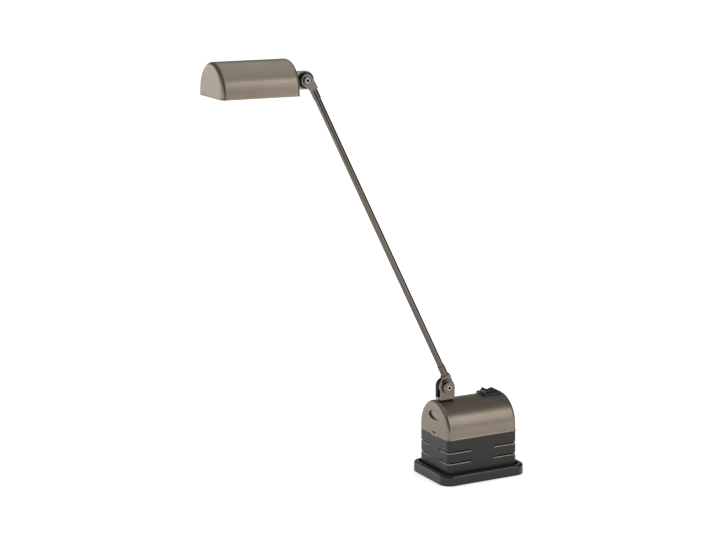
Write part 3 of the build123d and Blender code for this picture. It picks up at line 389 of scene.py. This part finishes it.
dress(
    satin_metal("cover_bronze", BRONZE, grain_scale=3600, grain_depth=6e-6, roughness=0.37),
    "upper_cover",
    "head_shell",
)
dress(
    brushed_metal("arm_bronze", ARM_BRONZE, roughness=0.20, turn=ARM_TURN),
    "arm_tube",
    "lower_ferrule",
    "upper_ferrule",
)
dress(brushed_metal("plate_bronze", DARK_BRONZE, roughness=0.28, lines=2200), "fork_bracket")
dress(brushed_metal("lug_bronze", BRONZE, roughness=0.32, along=0, lines=2200), "head_lug")
dress(
    brushed_metal("knuckle_bronze", DARK_BRONZE, roughness=0.28, turn=ARM_TURN, lines=2200),
    "lower_knuckle",
    "upper_knuckle",
)
for level in ("lower", "upper"):
    low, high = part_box(f"{level}_pivot_screw")
    pivot = (Vector(low) + Vector(high)) / 2
    dress(
        turned_metal(f"{level}_cap_bronze", DARK_BRONZE, roughness=0.28, origin=pivot),
        f"{level}_cap_disc",
    )
    dress(
        turned_metal(
            f"{level}_screw_zinc",
            SCREW,
            roughness=0.24,
            origin=pivot,
            pitch=0.00025,
            socket=0.0018,
        ),
        f"{level}_pivot_screw",
        f"{level}_rear_washer",
        f"{level}_pivot_nut",
    )
dress(
    satin_metal(
        "zinc_screws", SCREW, grain_scale=2500, grain_depth=6e-6, roughness=0.32, flake=0.05
    ),
    "tray_screws",
    "strap_screws",
    "lug_screws",
    "terminal_screws",
    "swivel_stem",
    "stop_washer",
    "swivel_nut",
    "stop_pin",
)
dress(
    satin_metal(
        "badge_satin",
        (0.27, 0.26, 0.245),
        grain_scale=3000,
        grain_depth=6e-6,
        roughness=0.28,
        flake=0.06,
    ),
    "badge_plate",
)
dress(
    moulded(
        "tray_lacquer",
        (0.006, 0.0055, 0.005),
        roughness=0.14,
        grain_scale=1500,
        grain_depth=3e-6,
        # edge tone 30 lifts the rim and edges to a light grey: a painted highlight along the tray's
        # rim
        edge_wear_and_highlight=30.0,
        edge_reach=0.0012,
        Specular_IOR_Level=0.5,
        Coat_Weight=0.3,
        Coat_Roughness=0.05,
    ),
    "base_tray",
)
dress(
    moulded(
        "case_charcoal",
        (0.0255, 0.0215, 0.0175),
        roughness=0.36,
        grain_scale=1900,
        grain_depth=1.2e-5,
        # edge tone 8 lightens the edges and slot lips: partly wear, partly a painted highlight
        edge_wear_and_highlight=8.0,
        # upward faces, the vent sills among them, get a painted highlight in this light grey
        painted_sill_highlight=(0.42, 0.40, 0.38),
        cells=True,
        Specular_IOR_Level=0.42,
    ),
    "lower_case",
)
dress(
    moulded(
        "nylon_black",
        (0.004, 0.004, 0.004),
        roughness=0.5,
        grain_scale=1700,
        grain_depth=1.2e-5,
        Specular_IOR_Level=0.2,
    ),
    "fork_cheek",
    "lower_insulator",
    "upper_insulator",
    "swivel_bush",
    "swivel_collar",
)
dress(
    moulded(
        "switch_black",
        (0.005, 0.005, 0.0055),
        roughness=0.2,
        grain_scale=2200,
        grain_depth=8e-6,
        Specular_IOR_Level=0.35,
    ),
    "switch_body",
    "switch_rocker",
)
dress(
    moulded(
        "rubber_black",
        (0.022, 0.022, 0.022),
        roughness=0.75,
        grain_scale=1200,
        grain_depth=4e-5,
        cells=True,
    ),
    "base_pad",
    "cord_gland",
)
dress(
    moulded(
        "nylon_natural",
        (0.70, 0.66, 0.55),
        roughness=0.45,
        grain_scale=900,
        grain_depth=1e-5,
        edge_wear_and_highlight=1.1,
        mottle=0.1,
    ),
    "bobbin",
    "conductor_sleeve",
)
dress(
    moulded(
        "ceramic_white",
        (0.80, 0.78, 0.72),
        roughness=0.62,
        grain_scale=1400,
        grain_depth=3e-5,
        edge_wear_and_highlight=1.05,
        cells=True,
        mottle=0.08,
    ),
    "lamp_holder",
)
dress(
    moulded(
        "block_natural",
        (0.75, 0.74, 0.70),
        roughness=0.42,
        grain_scale=900,
        grain_depth=1e-5,
        edge_wear_and_highlight=1.1,
        mottle=0.08,
    ),
    "terminal_block",
    "fuse_holder",
)
dress(
    moulded(
        "lead_red",
        (0.35, 0.05, 0.04),
        roughness=0.42,
        grain_scale=1500,
        grain_depth=1e-5,
        edge_wear_and_highlight=1.2,
    ),
    "mains_leads",
    "secondary_leads",
)
dress(
    satin_metal(
        "nickel_brass",
        (0.70, 0.68, 0.62),
        grain_scale=2500,
        grain_depth=5e-6,
        roughness=0.25,
        wear=1.1,
        flake=0.04,
    ),
    "fuse",
    "switch_terminals",
)
dress(laminated("core_laminations"), "transformer_e_stack", "transformer_i_stack", "ballast_plate")
dress(wound("winding_copper"), "primary_winding", "secondary_winding")
dress(
    brushed_metal("drawn_copper", (0.60, 0.26, 0.12), roughness=0.3, turn=ARM_TURN),
    "conductor_rod",
)
dress(galvanised("strap_zinc"), "transformer_strap", "holder_bracket")
dress(quartz("bulb_quartz"), "bulb_capsule")
dress(
    brushed_metal("drawn_tungsten", (0.35, 0.34, 0.33), roughness=0.35, along=0),
    "bulb_filament",
    "bulb_pins",
)
dress(stippled("reflector_stipple"), "reflector")

# ---------------------------------------------------------------- studio
WHITE = grey(1.0)
FLOOR_REACH = 30.0
# A glow is the range that it changes over, and its strength at both ends of that range.
FLOOR_SEEN = ((0.10, 0.70), (0.50, 1.0))  # by the distance from the lamp, seen directly
FLOOR_MIRRORED = ((0.10, 0.90), (0.20, 1.0))  # by the same distance, seen in reflections
WALL_GLOW = ((0.0, 0.32), (0.76, 0.20))  # by the height of a ray's direction
LAMP_MIDDLE = (-0.1, 0, 0.25)

SOFTBOXES = (
    # name, place, (width, height), power in watts, aim, whether reflections show it
    ("left", (-2.3, 0.3, 0.9), (1.2, 0.9), 3.5, LAMP_MIDDLE, True),
    ("back_left", (-1.35, 2.1, 0.75), (1.6, 0.8), 5.5, LAMP_MIDDLE, True),
    ("front", (1.16, -2.0, 1.34), (1.2, 1.4), 10, LAMP_MIDDLE, True),
    ("front_strip", (0.92, -1.6, 1.64), (1.2, 0.10), 3, LAMP_MIDDLE, True),
    ("over_shade", (-0.05, 0.08, 1.0), (0.4, 1.0), 1.05, (-0.05, 0.08, 0), True),
    ("top", (0, 0, 2.5), (3.0, 3.0), 37, LAMP_MIDDLE, False),
)
FLAGS = (
    # name, foot, width, height
    ("front_flag", (-0.34, -0.66, 0), 0.5, 1.0),
    ("right_flag", (1.1, -0.1, 0), 1.4, 1.2),
)


def add_sheet(name, corners):
    """One flat face of the studio."""
    mesh = bpy.data.meshes.new(name)
    mesh.from_pydata(corners, [], [(0, 1, 2, 3)])
    sheet = bpy.data.objects.new(name, mesh)
    scene.collection.objects.link(sheet)
    return sheet


def seen_directly(g, path):
    """1 for rays from the camera or through glass, else 0."""
    return g.math("MAXIMUM", path.outputs["Is Camera Ray"], path.outputs["Is Transmission Ray"])


def add_floor():
    """A pale floor that keeps the lamp's shadow, and glows up to white away from it."""
    near, far = -FLOOR_REACH, FLOOR_REACH
    floor = add_sheet("floor", [(near, near, 0), (far, near, 0), (far, far, 0), (near, far, 0)])
    material, g = new_material("floor_white")
    paper = g.noise(6, 2, 0.5)
    tone = g.blend(g.spread(paper, BROAD), grey(0.80), grey(0.82))
    diffuse = g.add("ShaderNodeBsdfDiffuse", {"Color": tone})
    distance = g.vector("LENGTH", g.place(), output="Value")
    path = g.add("ShaderNodeLightPath")
    seen = g.math("MULTIPLY", seen_directly(g, path), g.spread(distance, *FLOOR_SEEN))
    mirrored = g.spread(distance, *FLOOR_MIRRORED)
    mirrored = g.math("MULTIPLY", path.outputs["Is Glossy Ray"], mirrored)
    strength = g.math("MAXIMUM", seen, mirrored)
    glow = g.add("ShaderNodeEmission", {"Color": WHITE, "Strength": strength})
    both = g.add("ShaderNodeAddShader", {0: diffuse.outputs[0], 1: glow.outputs[0]})
    g.add("ShaderNodeOutputMaterial", {"Surface": both.outputs[0]})
    floor.data.materials.append(material)
    floor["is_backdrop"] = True


def add_world():
    """White where it is seen directly, and for other rays a wall whose glow fades upwards."""
    world = bpy.data.worlds.new("studio")
    scene.world = world
    world.use_nodes = True
    g = Graph(world.node_tree)
    seen = seen_directly(g, g.add("ShaderNodeLightPath"))
    direction = g.add("ShaderNodeTexCoord").outputs["Generated"]
    height = g.add("ShaderNodeSeparateXYZ", {"Vector": direction}).outputs["Z"]
    strength = g.math("MAXIMUM", g.spread(height, *WALL_GLOW), seen)
    back = g.add("ShaderNodeBackground", {"Color": WHITE, "Strength": strength})
    g.add("ShaderNodeOutputWorld", {"Surface": back.outputs[0]})


def add_softbox(name, place, size, power, aim, mirrored):
    """A rectangular light that faces aim."""
    data = bpy.data.lights.new(name, "AREA")
    data.shape = "RECTANGLE"
    data.size, data.size_y = size
    data.energy = power
    light = bpy.data.objects.new(name, data)
    light.location = place
    light.rotation_mode = "QUATERNION"
    light.rotation_quaternion = (Vector(aim) - Vector(place)).to_track_quat("-Z", "Y")
    light.visible_camera = False
    light.visible_glossy = mirrored
    scene.collection.objects.link(light)


def add_flag(name, foot, width, height):
    """An upright black card that faces the lamp, seen only in its reflections."""
    half = width / 2
    flag = add_sheet(name, [(-half, 0, 0), (half, 0, 0), (half, 0, height), (-half, 0, height)])
    flag.location = foot
    flag.rotation_euler = (0, 0, math.atan2(foot[0], -foot[1]))
    for kind in ("camera", "diffuse", "transmission", "volume_scatter", "shadow"):
        setattr(flag, f"visible_{kind}", False)
    material, g = new_material(name)
    cloth = g.noise(400, 2, 0.5)
    tone = g.blend(g.spread(cloth, BROAD), grey(0.010), grey(0.016))
    diffuse = g.add("ShaderNodeBsdfDiffuse", {"Color": tone})
    g.add("ShaderNodeOutputMaterial", {"Surface": diffuse.outputs[0]})
    flag.data.materials.append(material)
    flag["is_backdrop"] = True


add_floor()
add_world()
for softbox in SOFTBOXES:
    add_softbox(*softbox)
for card in FLAGS:
    add_flag(*card)
scene.view_settings.view_transform = "Standard"

low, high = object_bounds()
